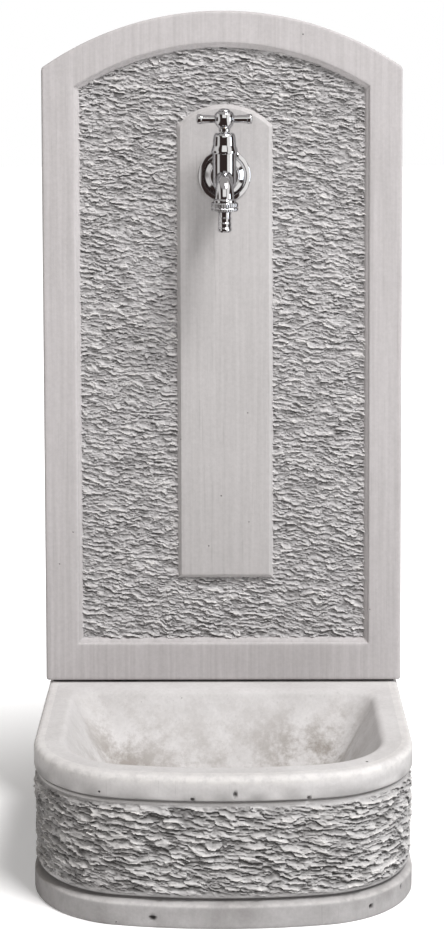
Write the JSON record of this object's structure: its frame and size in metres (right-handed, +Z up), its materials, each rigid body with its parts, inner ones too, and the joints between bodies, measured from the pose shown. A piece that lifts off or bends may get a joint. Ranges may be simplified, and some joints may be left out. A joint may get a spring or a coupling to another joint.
{
  "type": "wall-backed garden drinking fountain",
  "caption": "Cast concrete garden fountain: arched back slab with a rough-tooled field, a bow-fronted basin and a chromed bib tap with a hose tail.",
  "frame": {"origin": "on the floor, at the centre of the outer box", "axes": "+Z up; the basin and tap face -Y; the slab's back is at +Y; +X is the user's right"},
  "size_m": [0.43, 0.392, 0.98],
  "materials": {
    "slab_concrete": "matte",
    "basin_concrete": "matte",
    "mortar": "matte",
    "stainless": "satin",
    "chrome_trim": "polished",
    "chrome_body": "polished",
    "fibre": "matte",
    "brass": "satin",
    "packing": "satin",
    "rubber": "matte",
    "copper": "satin",
    "white_plastic": "satin",
    "zinc_steel": "satin",
    "grey_plastic": "satin"
  },
  "bodies": {
    "castings": {"back_slab": "slab_concrete", "basin": "basin_concrete", "mortar_bed": "mortar", "dowel_pins": "stainless", "tie_sockets": "stainless", "wall_flange": "chrome_trim", "inlet_seal": "fibre", "tap_body": "chrome_body", "bonnet": "brass", "bonnet_gasket": "fibre", "gland_packing": "packing", "gland_nut": "brass", "bonnet_cover": "chrome_trim", "union_nut": "chrome_trim", "union_seal": "rubber", "hose_tail": "chrome_body", "extension": "brass", "wall_elbow": "brass", "riser_pipe": "copper", "compression_nuts": "brass", "olives": "copper", "inlet_adaptor": "brass", "pipe_clips": "white_plastic", "fixing_screws": "zinc_steel", "screw_plugs": "grey_plastic", "drain_strainer": "stainless", "strainer_seal": "rubber", "drain_tube": "brass", "drain_seal": "rubber", "drain_backnut": "brass", "drain_screw": "stainless", "drain_pipe": "grey_plastic"},
    "valve_plate": {"jumper_plate": "brass", "valve_washer": "rubber", "washer_screw": "stainless"},
    "handle": {"spindle": "brass", "t_handle": "chrome_trim", "handle_screw": "stainless", "handle_cap": "chrome_trim"}
  },
  "joints": [
    {"name": "plate_lift", "type": "slide", "parent": "castings", "child": "valve_plate", "axis": [0, 0, 1], "range_m": [0, 0.006]},
    {"name": "handle_turn", "type": "hinge", "parent": "valve_plate", "child": "handle", "pos_m": [0.003, 0.088, 0.8536], "axis": [0, 0, 1], "range_deg": [0, 900]}
  ],
  "couplings": [
    {"joint": "handle_turn", "follows": "plate_lift", "rad_per_m": 2618}
  ]
}
